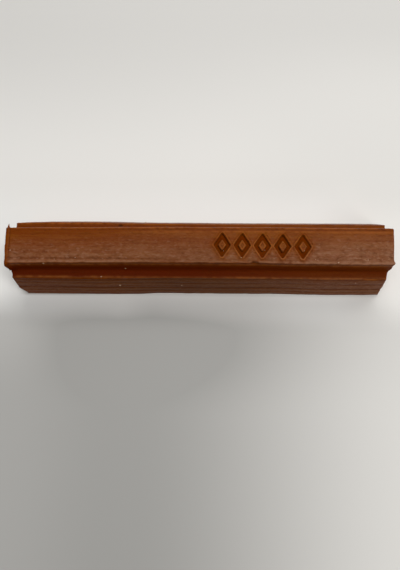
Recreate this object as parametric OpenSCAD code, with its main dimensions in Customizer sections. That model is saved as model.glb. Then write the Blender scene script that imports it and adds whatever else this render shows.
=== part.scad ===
// Hard wax stick for filling scratches and chips in furniture.
// It is one solid bar: a narrow rib stands on a wider body whose sides flare out towards
// the base, with a ledge along each side of the rib. A row of plain lozenge marks is pressed
// into the rib's top face, and each mark has the low lip of wax that the stamp squeezed up.
// X runs along the bar, Y across it and Z up. The origin is the centre of the resting face.

/* [Bar] */
// Length between the two cut ends
bar_len = 80; // [60:1:120]
// Height from the resting face to the pressed face
bar_h = 13.2; // [11:0.1:18]

/* [Rib] */
// Width of the rib's top, which is the width of the pressed face
rib_w = 7.5; // [7:0.1:10]
// Height of the rib above the ledges
rib_h = 5.3; // [4:0.1:7]
// How far each wall of the rib leans out between its top and its foot
rib_draft = 0.4; // [0.1:0.05:0.9]

/* [Body] */
// Width of the ledge on each side of the rib's foot
ledge_w = 1.9; // [1.4:0.05:4]
// How far each side leans out between the ledge and the base
side_flare = 2.35; // [0.5:0.05:4]

/* [Edges] */
// Radius of the two long edges of the pressed face
rib_edge_r = 0.4; // [0.2:0.05:0.8]
// Radius of the cove where the rib meets a ledge
cove_r = 0.6; // [0.2:0.05:1]
// Radius of the outer edge of each ledge
ledge_edge_r = 0.35; // [0.15:0.05:0.6]
// Radius of the two long edges of the base
base_edge_r = 0.4; // [0.15:0.05:0.8]
// Radius of the top and bottom edges of a clean cut end
end_edge_r = 0.25; // [0.1:0.05:0.5]
// Radius of the bottom edge of the end that use has worn round
worn_edge_r = 1.4; // [0.5:0.1:3]

/* [Pressed marks] */
// Number of marks in the row
mark_count = 5; // [1:1:6]
// Width of a mark along the bar
mark_w = 3.65; // [2.8:0.05:3.8]
// Height of a mark across the rib
mark_h = 5.6; // [4:0.1:5.8]
// Width of the stroke that is pressed in
stroke_w = 0.9; // [0.5:0.05:1]
// Depth of the stroke below the rib's face
stroke_depth = 0.45; // [0.2:0.05:0.8]
// Corner radius of a mark
mark_corner_r = 0.35; // [0.15:0.05:0.4]
// Corner radius of the island inside a mark
island_corner_r = 0.15; // [0.05:0.05:0.2]
// Width of the lip round a mark
lip_w = 0.18; // [0.1:0.01:0.2]
// Height of the lip above the rib's face
lip_h = 0.12; // [0.05:0.01:0.3]
// Distance from one mark to the next
mark_pitch = 4.1; // [4:0.05:5]
// Distance of the row's middle from the middle of the bar
row_offset = 13.3; // [0:0.1:14]
// Turn of the row against the rib, in degrees
row_turn = -1.1; // [-2:0.1:2]

/* [Chips] */
// Length of the chip in the front edge of the pressed face
rib_chip_len = 1.5; // [0.8:0.1:3]
// Depth of that chip below the unrounded edge
rib_chip_depth = 0.45; // [0.3:0.05:0.6]
// Distance of that chip from the middle of the bar
rib_chip_offset = 11.8; // [0:0.1:20]
// Length of the chip in the front edge of the ledge
ledge_chip_len = 3.6; // [2:0.1:5]
// Depth of that chip below the unrounded edge
ledge_chip_depth = 0.5; // [0.2:0.05:0.7]
// Distance of that chip from the middle of the bar
ledge_chip_offset = 36.5; // [28:0.1:37]

/* [Hidden] */
// Sides of every arc and circle
$fn = 64;
// How far a cutting shape runs past the face that it cuts
overrun = 1;

// Heights and half widths that follow from the driving sizes
ledge_z = bar_h - rib_h;
rib_half = rib_w / 2;
foot_half = rib_half + rib_draft;
ledge_half = foot_half + ledge_w;
base_half = ledge_half + side_flare;
// Outward bisector of a front edge, from +Y towards +Z, where the face below it leans out
function edge_facing(lean, height) = 135 - atan(lean / height) / 2;

// Item i of a list that is read as a closed ring
function ring_item(list, i) = list[(i + len(list)) % len(list)];

function unit(v) = v / norm(v);

// Positive where an anticlockwise outline turns left at b, which is a convex corner
function turn_at(a, b, c) = (b.x - a.x) * (c.y - b.y) - (b.y - a.y) * (c.x - b.x);

function half_angle(a, b, c) = acos(unit(a - b) * unit(c - b)) / 2;

// Where an arc of radius r in the corner at b leaves the edge from b to a
function tangent_point(a, b, c, r) = b + unit(a - b) * r / tan(half_angle(a, b, c));

function arc_centre(a, b, c, r) = b + unit(unit(a - b) + unit(c - b)) * r / sin(half_angle(a, b, c));

// Radius of the circle through a notch that is so long and so deep
function notch_r(length, depth) = (length * length / 4 + depth * depth) / (2 * depth);

// Distance from a lozenge's centre to its sides
function lozenge_reach(w, h) = w * h / (2 * norm([w, h]));

// One arc of a rounded outline, drawn as its full circle
module corner_circle(points, radii, i) {
    translate(arc_centre(ring_item(points, i - 1), points[i], ring_item(points, i + 1), radii[i]))
        circle(r = radii[i]);
}

// An anticlockwise outline with an arc of its own radius in each corner
module rounded_outline(points, radii) {
    corners = [for (i = [0 : len(points) - 1]) i];
    turns = [for (i = corners) turn_at(ring_item(points, i - 1), points[i], ring_item(points, i + 1))];
    chords = [for (i = corners) each [
        tangent_point(ring_item(points, i - 1), points[i], ring_item(points, i + 1), radii[i]),
        tangent_point(ring_item(points, i + 1), points[i], ring_item(points, i - 1), radii[i])
    ]];
    difference() {
        union() {
            polygon(chords);
            for (i = corners) {
                if (turns[i] > 0) corner_circle(points, radii, i);
            }
        }
        for (i = corners) {
            if (turns[i] < 0) corner_circle(points, radii, i);
        }
    }
}

// Cross-section of the bar: flared body, two ledges and the rib, seen along X
module bar_profile() {
    rounded_outline(
        [
            [-base_half, 0],
            [base_half, 0],
            [ledge_half, ledge_z],
            [foot_half, ledge_z],
            [rib_half, bar_h],
            [-rib_half, bar_h],
            [-foot_half, ledge_z],
            [-ledge_half, ledge_z]
        ],
        [
            base_edge_r,
            base_edge_r,
            ledge_edge_r,
            cove_r,
            rib_edge_r,
            rib_edge_r,
            cove_r,
            ledge_edge_r
        ]
    );
}

// Outline of the bar from the side, with the worn edge at the left end
module side_outline() {
    rounded_outline(
        [
            [-bar_len / 2, 0],
            [bar_len / 2, 0],
            [bar_len / 2, bar_h],
            [-bar_len / 2, bar_h]
        ],
        [worn_edge_r, end_edge_r, end_edge_r, end_edge_r]
    );
}

// The bar before it is stamped: its cross-section carried along X and cut to its side outline
module plain_bar() {
    intersection() {
        rotate([90, 0, 90])
            linear_extrude(height = bar_len, center = true)
                bar_profile();
        rotate([90, 0, 0])
            linear_extrude(height = 2 * (base_half + overrun), center = true)
                side_outline();
    }
}

// A lozenge that is a mark's outline moved outwards by grow, or inwards where grow is negative
module lozenge(grow, corner_r) {
    share = 1 + grow / lozenge_reach(mark_w, mark_h);
    half_w = share * mark_w / 2;
    half_h = share * mark_h / 2;
    rounded_outline(
        [[half_w, 0], [0, half_h], [-half_w, 0], [0, -half_h]],
        [corner_r, corner_r, corner_r, corner_r]
    );
}

// Puts its children at each mark's place on the rib, with the face at height zero
module along_row() {
    translate([row_offset, 0, bar_h])
        rotate([0, 0, row_turn])
            for (i = [0 : mark_count - 1]) {
                translate([(i - (mark_count - 1) / 2) * mark_pitch, 0, 0])
                    children();
            }
}

// The wax squeezed up round a mark, rooted in the rib
module mark_lip() {
    translate([0, 0, -stroke_depth])
        linear_extrude(height = stroke_depth + lip_h)
            difference() {
                lozenge(lip_w, mark_corner_r + lip_w);
                lozenge(0, mark_corner_r);
            }
}

// The stroke that the stamp leaves: a lozenge ring round an island
module mark_stroke() {
    translate([0, 0, -stroke_depth])
        linear_extrude(height = stroke_depth + lip_h + overrun)
            difference() {
                lozenge(0, mark_corner_r);
                lozenge(-stroke_w, island_corner_r);
            }
}

// A shallow round scoop out of a long edge; facing is the edge's outward bisector
module edge_scoop(offset, edge_y, edge_z, facing, length, depth) {
    scoop_r = notch_r(length, depth);
    translate([offset, edge_y, edge_z])
        rotate([facing, 0, 0])
            translate([0, scoop_r - depth, 0])
                cylinder(h = 4 * depth, r = scoop_r, center = true);
}

// The whole stick, in one piece of wax
module wax_bar() {
    color("saddlebrown")
        difference() {
            union() {
                plain_bar();
                along_row() mark_lip();
            }
            along_row() mark_stroke();
            edge_scoop(
                rib_chip_offset, -rib_half, bar_h, edge_facing(rib_draft, rib_h),
                rib_chip_len, rib_chip_depth
            );
            edge_scoop(
                ledge_chip_offset, -ledge_half, ledge_z, edge_facing(side_flare, ledge_z),
                ledge_chip_len, ledge_chip_depth
            );
        }
}

wax_bar();
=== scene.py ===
"""Looks of a hard wax filler stick: one drawn, cut and stamped bar of wax on a pale table top.

Lengths are in metres. The bar lies along X with its pressed face up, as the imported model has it.
"""

import math
from typing import NamedTuple

import bpy
import numpy as np
from bpy.props import FloatProperty, FloatVectorProperty, IntProperty, PointerProperty
from bpy.types import Operator, Panel, PropertyGroup
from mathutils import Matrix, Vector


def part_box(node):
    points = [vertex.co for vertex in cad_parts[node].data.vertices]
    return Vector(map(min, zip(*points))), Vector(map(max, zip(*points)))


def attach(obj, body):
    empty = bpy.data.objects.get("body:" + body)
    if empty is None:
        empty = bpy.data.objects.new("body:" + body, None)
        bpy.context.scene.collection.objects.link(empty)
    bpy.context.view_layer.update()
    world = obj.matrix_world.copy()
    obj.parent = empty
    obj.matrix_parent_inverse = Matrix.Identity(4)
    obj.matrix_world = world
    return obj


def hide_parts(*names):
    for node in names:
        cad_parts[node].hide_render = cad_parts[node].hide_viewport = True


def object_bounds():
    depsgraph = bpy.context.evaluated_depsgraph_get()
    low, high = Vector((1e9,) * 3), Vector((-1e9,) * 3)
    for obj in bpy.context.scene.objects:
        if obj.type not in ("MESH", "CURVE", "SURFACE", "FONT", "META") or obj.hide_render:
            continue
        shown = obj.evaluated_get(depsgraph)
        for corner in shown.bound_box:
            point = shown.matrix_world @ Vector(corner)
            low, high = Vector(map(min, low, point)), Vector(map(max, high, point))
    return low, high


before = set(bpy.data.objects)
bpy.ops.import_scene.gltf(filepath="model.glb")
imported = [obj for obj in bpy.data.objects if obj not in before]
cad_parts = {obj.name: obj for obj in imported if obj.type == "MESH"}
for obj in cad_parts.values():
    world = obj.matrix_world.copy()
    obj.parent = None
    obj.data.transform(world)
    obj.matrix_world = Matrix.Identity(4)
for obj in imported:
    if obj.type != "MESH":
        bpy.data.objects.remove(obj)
CAD_LOW, CAD_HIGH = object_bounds()
BAR_LOW, BAR_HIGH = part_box("wax_bar")

bl_info = {
    "name": "Hard wax stick",
    "version": (1, 0, 0),
    "blender": (4, 5, 0),
    "location": "View3D > Sidebar > Wax stick",
    "description": "Builds a stamped bar of furniture filler wax and the table it lies on",
    "category": "Object",
}

MM = 0.001
NODE = "wax_bar"
BODY = "root"

# Lip of the pressed marks above the face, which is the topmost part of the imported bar
LIP_HEIGHT = 0.12 * MM
# Corner radii of the pressed lozenges, outside and inside the stroke
OUTER_CORNER = 0.35 * MM
INNER_CORNER = 0.15 * MM


def metres(name, description, default):
    """Length setting."""
    return FloatProperty(name=name, description=description, default=default, unit="LENGTH", precision=6)


def amount(name, description, default):
    """Plain number setting."""
    return FloatProperty(name=name, description=description, default=default)


def tint(name, description, default):
    """Colour setting."""
    return FloatVectorProperty(
        name=name, description=description, default=default, size=3, subtype="COLOR", min=0.0, max=1.0
    )


class BarShape(PropertyGroup):
    """Section and ends of the bar."""

    length: metres("Length", "Between the two cut ends", BAR_HIGH.x - BAR_LOW.x)
    height: metres("Height", "From the table to the pressed face", BAR_HIGH.z - LIP_HEIGHT)
    rib_width: metres("Rib width", "Width of the pressed face", 7.5 * MM)
    rib_height: metres("Rib height", "From the ledges to the pressed face", 5.3 * MM)
    rib_draft: metres("Rib draft", "Lean of each rib wall from its top to its foot", 0.4 * MM)
    ledge_width: metres("Ledge width", "Flat on each side of the rib's foot", 1.9 * MM)
    side_flare: metres("Side flare", "Lean of each side from ledge to base", 2.35 * MM)
    rib_edge_radius: metres("Rib edge", "Radius of the pressed face's long edges", 0.15 * MM)
    cove_radius: metres("Cove", "Radius where rib and ledge meet", 0.6 * MM)
    ledge_edge_radius: metres("Ledge edge", "Radius of the ledge's outer edge", 0.2 * MM)
    base_edge_radius: metres("Base edge", "Radius of the long edges of the base", 0.25 * MM)
    end_edge_radius: metres("End edge", "Radius round the cut ends", 0.22 * MM)
    worn_edge_radius: metres("Worn edge", "Radius of the used end's bottom edge", 1.4 * MM)
    crown: metres("Crown", "Fall of the pressed face from its middle to its edges", 0.1 * MM)
    skin: metres("Skin", "Room left inside the packed bar for the relief", 0.03 * MM)


class PressedRow(PropertyGroup):
    """Row of plain lozenge marks pressed into the rib."""

    count: IntProperty(name="Marks", description="Number of marks in the row", default=5, min=1, max=6)
    mark_width: metres("Mark width", "Width of a mark along the bar", 3.65 * MM)
    mark_height: metres("Mark height", "Height of a mark across the rib", 5.6 * MM)
    stroke_width: metres("Stroke", "Width of the pressed stroke", 0.9 * MM)
    stroke_depth: metres("Depth", "Depth of the stroke", 0.42 * MM)
    lip_height: metres("Lip height", "Height of the squeezed-up lip", LIP_HEIGHT)
    pitch: metres("Pitch", "From one mark to the next", 4.1 * MM)
    offset: metres("Offset", "From the bar's middle to the row's middle", 13.3 * MM)
    turn: FloatProperty(
        name="Turn", description="Turn of the row against the rib", default=math.radians(-1.1),
        subtype="ANGLE",
    )


class WaxFinish(PropertyGroup):
    """Colours and gloss of the wax."""

    body: tint("Body", "Main colour of the wax", (0.182, 0.043, 0.0017))
    warm: tint("Warm", "Redder pigment in drifts", (0.205, 0.051, 0.0014))
    # Painted shade: the darker colour of the coves, the ledges, the foot of the rib walls, the drag-line gaps
    # and the pits
    deep: tint("Deep", "Coves and ledges", (0.13, 0.0152, 0.0003))
    # Painted shade: the darker colour at the bottom of the pressed strokes
    stroke: tint("Stroke", "Bottom of the pressed strokes", (0.12, 0.023, 0.0004))
    # Painted highlight: orange line along the long edges and lips where there is no sheen
    rim: tint("Rim", "Edges that nothing has scuffed", (0.335, 0.099, 0.018))
    # Painted shade: greyish darkening of the front side and of the front of the pressed face
    front_shade: tint("Grime", "Grey film from hands on the front side", (0.042, 0.032, 0.012))
    # Painted shade in creases, die lines, pits and drag lines
    crease_shade: tint("Cavity", "Bottom of creases, pits and drag lines", (0.07, 0.014, 0.001))
    # Scuffed film with a painted sheen, greyer and paler on the front half of the pressed face
    bloom_and_sheen: tint("Bloom", "Handled, scuffed surface", (0.218, 0.1, 0.053))
    # Pale grains of wax, partly painted glints
    crumb_glint: tint("Crumb", "Scraped wax grains", (0.6, 0.42, 0.28))
    # Painted highlight: pale line along the long edges and lips, and on proud spots, dashes and grains
    edge: tint("Edge", "Rubbed edges and lips", (0.27, 0.125, 0.068))
    gloss_roughness: amount("Smooth", "Roughness of smooth wax", 0.33)
    scuff_roughness: amount("Scuffed", "Roughness of scuffed wax", 0.44)
    edge_roughness: amount("Dull", "Roughness of edges, strokes and sheltered places", 0.62)
    upright_mirror: amount("Upright mirror", "Mirror strength of the upright walls", 0.004)
    flat_mirror: amount("Flat mirror", "Mirror strength of the faces that look up", 0.045)
    glow: amount("Glow", "Share of the light that passes through the wax", 0.12)


class StudioSettings(PropertyGroup):
    """Table, lamps and camera."""

    table_colour: tint("Table", "Pale table top", (0.815, 0.805, 0.78))
    table_shade: tint("Table shade", "Table in front of the bar, to the left", (0.358, 0.354, 0.341))
    table_lit: tint("Table light", "Strips of the table close to the bar", (0.93, 0.93, 0.91))
    # Painted shadow along the bar's foot
    table_contact_shadow: tint("Table contact", "Thin band along the bar's foot", (0.2, 0.15, 0.12))
    camera_place: FloatVectorProperty(
        name="Camera", description="Place of the camera", default=(4.91 * MM, -26.3 * MM, 128.77 * MM),
        size=3, subtype="TRANSLATION",
    )
    camera_turn: FloatVectorProperty(
        name="Camera turn", description="Turn of the camera about X, Y and Z, from straight down",
        default=tuple(map(math.radians, (8.944, 1.967, 0.734))), size=3, subtype="EULER",
    )
    focal_pixels: amount("Focal length", "In pixels of the 570 pixel long side", 580.0)
    far_sky: amount("Room behind", "Strength of the light from behind", 0.31)
    near_sky: amount("Room in front", "Strength of the light from in front", 0.07)
    backdrop: amount("Backdrop", "Brightness of the room where the camera sees it", 0.66)
    window_power: amount("Window", "Power of the lamp behind the bar, in watts", 2.2)
    ceiling_power: amount("Ceiling", "Power of the lamp above, in watts", 1.9)
    side_power: amount("Side", "Power of the lamp to the right, in watts", 0.095)


# Curves and noises that the surfaces are made of


def smooth_step(t):
    """Cubic ramp 3t^2 - 2t^3 from 0 to 1, flat outside."""
    t = np.clip(t, 0.0, 1.0)
    return t * t * (3.0 - 2.0 * t)


def ramp(length, start, end):
    """Cubic ramp of a length from 0 at start to 1 at end, both in mm; it falls where end is the lower."""
    return smooth_step((length / MM - start) / (end - start))


def bell(t):
    """Gaussian bump exp(-t^2)."""
    return np.exp(-t * t)


def ridge(length, centre, spread):
    """Gaussian bump of a length round centre, with both numbers in mm."""
    return bell((length / MM - centre) / spread)


def eased(x, knots):
    """Value at x: cubic ramps from each knot, as (place in mm, value), to the next."""
    places, values = np.array(knots).T
    k = np.clip(np.searchsorted(places, x / MM) - 1, 0, len(places) - 2)
    share = smooth_step((x / MM - places[k]) / (places[k + 1] - places[k]))
    return values[k] * (1 - share) + values[k + 1] * share


NOISE_CELLS = 256


def lattice_noise(u, v, seed, around=NOISE_CELLS):
    """Smooth noise from -1 to 1 at (u, v): random values at whole numbers, blended by cubic ramps.

    The lattice repeats after NOISE_CELLS cells, or in v after around cells where it closes a ring.
    """
    values = np.random.default_rng(seed).uniform(-1.0, 1.0, (NOISE_CELLS, NOISE_CELLS))
    u, v = np.broadcast_arrays(u, v)
    i = np.floor(u).astype(int)
    j = np.floor(v).astype(int)
    blend_u = smooth_step(u - i)
    blend_v = smooth_step(v - j)
    near, far = j % around, (j + 1) % around
    low = values[i % NOISE_CELLS, near] * (1 - blend_u) + values[(i + 1) % NOISE_CELLS, near] * blend_u
    high = values[i % NOISE_CELLS, far] * (1 - blend_u) + values[(i + 1) % NOISE_CELLS, far] * blend_u
    return low * (1 - blend_v) + high * blend_v


def patches(a, b, step_a, step_b, seed):
    """Lattice noise over two lengths, in cells of so many mm."""
    return lattice_noise(a / (step_a * MM), b / (step_b * MM), seed)


def wander(x, step, seed, line=0.0):
    """Lattice noise along one line of the lattice, in cells of so many mm."""
    return lattice_noise(x / (step * MM), line, seed)


# Section of the bar

# Straight runs of the section in the order of rounded_ring, the arcs that lead to runs 2 to 7, and the
# step that each run is divided into
BASE, BACK_SIDE, BACK_LEDGE, BACK_WALL, TOP, FRONT_WALL, FRONT_LEDGE, FRONT_SIDE = range(8)
BACK_LEDGE_EDGE, BACK_COVE, BACK_RIB_EDGE, RIB_EDGE, COVE, LEDGE_EDGE = range(-3, -9, -1)
RUN_STEPS = (0.95 * MM, 0.5 * MM, 0.24 * MM, 0.34 * MM, 0.165 * MM, 0.3 * MM, 0.2 * MM, 0.175 * MM)
LONG_EDGES = (BACK_LEDGE_EDGE, BACK_RIB_EDGE, RIB_EDGE, LEDGE_EDGE)


class Ring(NamedTuple):
    """Places round the section: where each is, its outward normal, the number of its run or arc, how deep
    it can sink before its arc's radius is used up, its corner's mitre, and the distance round to it."""

    y: np.ndarray
    z: np.ndarray
    normal_y: np.ndarray
    normal_z: np.ndarray
    run: np.ndarray
    spare: np.ndarray
    mitre_y: np.ndarray
    mitre_z: np.ndarray
    along: np.ndarray


class Guide(NamedTuple):
    """Distances round the whole section of the places that the relief is laid out from."""

    perimeter: float
    side_start: float
    side_end: float
    edges: dict


class Rows(NamedTuple):
    """Stations along the bar: place along X, how far the end's rounding draws the section in, and its
    size against the whole section, which is less than 1 on the caps."""

    x: np.ndarray
    inset: np.ndarray
    shrink: np.ndarray


def rounded_ring(corners, radii, steps):
    """Closed outline in Y and Z with an arc in each corner, as one row of points.

    Each straight run from corner to corner is divided evenly, at about its own step, and each arc into
    four. Run k leaves corner k, whose arc has the number -1 - k. Only a convex arc has an end to how deep
    it can sink; from there on it follows its corner's mitre.
    """
    arc_parts = 4
    least_radius = 0.02 * MM
    endless = 1.0
    corners = np.array(corners)
    before = np.roll(corners, 1, axis=0) - corners
    after = np.roll(corners, -1, axis=0) - corners
    before /= np.linalg.norm(before, axis=1)[:, None]
    after /= np.linalg.norm(after, axis=1)[:, None]
    half = np.arccos((before * after).sum(1)) / 2
    setback = (np.array(radii) / np.tan(half))[:, None]
    enter = corners + before * setback
    leave = corners + after * setback
    middle = before + after
    mitres = -middle / (np.linalg.norm(middle, axis=1) * np.sin(half))[:, None]
    convex = np.sign(before[:, 1] * after[:, 0] - before[:, 0] * after[:, 1])
    blocks = []

    def add(points, normals, run, spare, mitre):
        """Adds the points' rows, with the values in the order of Ring."""
        blocks.append(np.hstack([points, normals, np.tile([run, spare, *mitre], (len(points), 1))]))

    for k, radius in enumerate(radii):
        centre = corners[k] - mitres[k] * radius
        start = math.atan2(*(enter[k] - centre)[::-1])
        sweep = convex[k] * (math.pi - 2 * half[k])
        angle = start + sweep * np.linspace(0.0, 1.0, arc_parts + 1)
        way = np.stack([np.cos(angle), np.sin(angle)], 1)
        spare = radius - least_radius if convex[k] > 0 else endless
        add(centre + way * radius, way * convex[k], -1 - k, spare, mitres[k])
        end = enter[(k + 1) % len(corners)]
        length = np.linalg.norm(end - leave[k])
        parts = max(2, round(length / steps[k]))
        share = np.linspace(0.0, 1.0, parts + 1)[1:-1, None]
        across = (end - leave[k]) / length
        normals = np.tile([across[1], -across[0]], (parts - 1, 1))
        add(leave[k] * (1 - share) + end * share, normals, k, endless, (0.0, 0.0))
    values = np.concatenate(blocks)
    walked = np.cumsum(np.linalg.norm(np.diff(values[:, :2], axis=0), axis=1))
    return Ring(*values.T, np.concatenate([[0.0], walked]))


def bar_section(shape):
    """Section of the bar from its front bottom corner round by the base, the back and the top."""
    rib = shape.rib_width / 2
    foot = rib + shape.rib_draft
    ledge = foot + shape.ledge_width
    base = ledge + shape.side_flare
    top = shape.height
    step = shape.height - shape.rib_height
    corners = [
        (-base, 0.0), (base, 0.0), (ledge, step), (foot, step),
        (rib, top), (-rib, top), (-foot, step), (-ledge, step),
    ]
    radii = [
        shape.base_edge_radius, shape.base_edge_radius, shape.ledge_edge_radius, shape.cove_radius,
        shape.rib_edge_radius, shape.rib_edge_radius, shape.cove_radius, shape.ledge_edge_radius,
    ]
    return rounded_ring(corners, radii, RUN_STEPS)


def section_guide(ring):
    """Guide of a whole section; a long edge lies at the middle of its arc."""
    side = ring.along[ring.run == FRONT_SIDE]
    edges = {edge: ring.along[ring.run == edge].mean() for edge in LONG_EDGES}
    return Guide(ring.along[-1], side[0], side[-1], edges)


def edge_line(ring, guide, edge, offset, spread):
    """Gaussian line along a long edge, so many mm further round the section than the edge."""
    return ridge(ring.along - guide.edges[edge], offset, spread)


# Marks pressed into the rib


def lozenge_distance(x, y, half_width, half_height):
    """Signed distance from a lozenge's outline, negative inside: the nearest point lies on one side,
    at the share of that side where the line from (x, y) meets it squarely, clamped to its ends."""
    x, y = np.abs(x), np.abs(y)
    across = (half_width - 2 * x) * half_width - (half_height - 2 * y) * half_height
    share = np.clip(across / (half_width**2 + half_height**2), -1.0, 1.0)
    distance = np.hypot(x - half_width * (1 - share) / 2, y - half_height * (1 + share) / 2)
    return distance * np.sign(x * half_height + y * half_width - half_width * half_height)


def pressed_relief(x, y, row):
    """Height of the rib's face round the stamped marks, and from 0 to 1 how far each place is pressed,
    how strong the painted highlight on its lip is, and how near it is to a mark.

    The stroke lies between a lozenge and a smaller one inside it, both with rounded corners. Its walls
    are cubic ramps, the lip beside it is a Gaussian ridge of uneven height, and further out the face
    has one faint ripple.
    """
    wall = 0.24
    lip_place, lip_spread = 0.12, 0.11
    trough_place, trough_depth = 0.42, 0.018 * MM
    ripple_place, ripple_spread, ripple_height = 0.68, 0.17, 0.035 * MM
    shank_place, shank_spread, shank_height, shank_groove = 0.18, 0.09, 0.045 * MM, -0.16
    shank_ends = (2.47, 0.57)
    near_mark = (1.275, 0.425)
    strike_change, strike_tilt = 0.16, 0.1
    cos, sin = math.cos(row.turn), math.sin(row.turn)
    along = (x - row.offset) * cos + y * sin
    across = y * cos - (x - row.offset) * sin
    middle = (row.count - 1) / 2
    mark = np.clip(np.round(along / row.pitch + middle), 0, row.count - 1)
    own_x = along - (mark - middle) * row.pitch
    up = across / row.mark_height
    reach = row.mark_width * row.mark_height / (2 * math.hypot(row.mark_width, row.mark_height))

    def rounded_lozenge(inset, corner):
        share = 1 - (inset + corner) / reach
        half_width, half_height = share * row.mark_width / 2, share * row.mark_height / 2
        return lozenge_distance(own_x, across, half_width, half_height) - corner

    outer = rounded_lozenge(0.0, OUTER_CORNER)
    outside = np.maximum(outer, -rounded_lozenge(row.stroke_width, INNER_CORNER))
    pressed = ramp(-outside, 0, wall)
    # Each mark was struck by hand, so it has its own depth and is pressed a little more on one side
    strike = 1 + strike_change * np.sin(2.4 * mark + 1.0)
    strike = strike + strike_tilt * np.sin(4.1 * mark) * own_x / row.mark_width
    uneven = np.clip(0.72 + 0.42 * patches(x, y, 0.9, 0.8, 21), 0.3, 1.0)
    lip = 1.3 * row.lip_height * uneven * ridge(outside, lip_place, lip_spread)
    rise = smooth_step(0.5 + up) * np.clip(lattice_noise(mark, 0.0, 22) + 0.6, 0, 1)
    ripple = ripple_height * rise * ridge(outside, ripple_place, ripple_spread)
    # Edge of the stamp's body, which touched the face beside the last mark
    shank = own_x - row.mark_width / 2 - shank_place * MM
    last = (mark == row.count - 1) * ramp(np.abs(across), *shank_ends)
    line = ridge(shank, 0, shank_spread) - ridge(shank, shank_groove, shank_spread)
    line = shank_height * last * line
    trough = trough_depth * ridge(outside, trough_place, lip_spread)
    patchy = smooth_step(0.45 + 0.7 * patches(x, y, 1.1, 0.9, 23))
    # Painted highlight on the lips: patchy, stronger on their lower side and faint on the upper side
    rim = np.clip(lip / row.lip_height, 0, 1) * (0.1 + 0.85 * patchy) * (1 - 1.2 * up)
    near = ramp(outside, *near_mark)
    return lip + ripple + line - trough - row.stroke_depth * strike * pressed, pressed, rim, near


# Relief of the drawn and handled bar

# Noises, as (height, step along X, step round the section, seed), in mm
SLOW_WAVES = ((0.028, 9, 6, 1), (0.018, 2.6, 1.6, 2))
DRAG_LINES = ((0.011, 0.95, 0.75, 9), (0.007, 14, 0.45, 3), (0.008, 3.2, 0.34, 4))
FACE_LINES = ((0.012, 1.6, 0.36, 18),)
PEBBLES = ((0.04, 0.66, 0.36, 16), (0.028, 0.42, 0.33, 17))
NICK_DEPTH = 0.05 * MM
# Thin creases beside the long edges, and low uneven beads that the die rolled along them, as (edge,
# offset past it, spread, height), in mm
CREASES = (
    (RIB_EDGE, 0.5, 0.24, -0.05), (LEDGE_EDGE, 0.5, 0.24, -0.05), (BACK_RIB_EDGE, 0.42, 0.14, -0.04),
)
# Crease behind the rib's front bead, deeper towards the left end
BEAD_CREASE = (RIB_EDGE, -0.95, 0.14, -0.045)
BEADS = (
    (RIB_EDGE, -0.3, 0.17, 0.045), (LEDGE_EDGE, -0.25, 0.17, 0.04), (BACK_RIB_EDGE, 0.82, 0.17, 0.025),
)
# Lines that the die left on the front side, as (share of the side from ledge to base, depth in mm); a
# negative depth stands proud
DIE_LINES = ((0.22, 0.045), (0.34, -0.03), (0.53, 0.11), (0.62, -0.03), (0.73, 0.03), (0.82, -0.03))
DIE_LINE_SPREAD = 0.03
# Height of the fine relief at which a place counts as fully raised; the wax paints highlights on raised
# places and shade on sunk ones
FULL_RELIEF = 0.045 * MM

# Blisters and pits of the face, as (along X, across Y, radius, height) in mm, most near the right end
FACE_SPOTS = (
    (38.3, 0.1, 0.17, -0.08), (38.2, -0.75, 0.16, -0.07), (35.4, 2.1, 0.16, -0.06),
    (35.7, -2.1, 0.18, 0.08), (36.5, -1.6, 0.2, 0.08), (38.6, -2.2, 0.17, 0.07),
    (34.2, -1.1, 0.17, 0.06), (36.3, 0.9, 0.16, -0.04), (-38.9, -1.25, 0.18, 0.09),
    (33.0, -2.4, 0.17, 0.06), (37.3, -2.8, 0.18, 0.06), (-21.6, 2.6, 0.18, 0.06),
    (-21.4, 1.6, 0.17, 0.06), (-20.9, 0.5, 0.18, 0.07), (-33.5, 1.2, 0.17, 0.04),
    (-17.0, 0.9, 0.17, 0.07), (-15.6, 0.1, 0.18, 0.07), (-27.2, 0.6, 0.17, 0.06),
    (-8.4, -0.6, 0.17, 0.05), (-12.6, -1.9, 0.17, 0.06), (-30.6, -1.4, 0.17, 0.06),
)

# How far the long edges stand out from the straight bar in mm, each with its place along X in mm
RIB_BOW = ((-40, 0.14), (-28, 0.04), (-10, -0.08), (12, -0.06), (24, 0.1), (34, 0.16), (40, 0.12))
BACK_RIB_BOW = ((-40, 0.0), (-26, 0.08), (-6, 0.24), (14, 0.2), (34, 0.14), (40, 0.08))
FRONT_BOW = (
    (-40, 0.03), (-32, 0.12), (-22, 0.18), (-15, -0.06), (-8, -0.28),
    (8, -0.23), (18, -0.28), (27, -0.14), (40, -0.26),
)
BACK_BOW = ((-40, 0.0), (-30, 0.2), (-24, 0.2), (-8, -0.05), (8, -0.1), (28, -0.15), (40, -0.16))
# Chips out of the front edges, as (place along X, length, depth) in mm
RIB_CHIPS = ((11.8, 1.5, 0.5),)
LEDGE_CHIPS = ((36.4, 3.7, 0.4), (38.6, 0.6, 0.2), (29.6, 0.5, 0.12), (21.5, 0.4, 0.1), (25.3, 0.5, 0.1))
CHIP_SPREAD = 0.36 * MM
# What the knife left beside the ends: a line across the face, a thread smeared over the back edge at
# the left, both as (place along X in mm, spread in mm, size), and a fold on the front wall at each end
KNIFE_LINE = (-39.0, 0.1, 0.11 * MM)
THREAD = (-39.4, 0.17, 0.95 * MM)
LEFT_FOLD, RIGHT_FOLD = 0.6 * MM, 0.06 * MM
# How far the middle of the base is hollow
BASE_HOLLOW = 0.05 * MM
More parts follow.
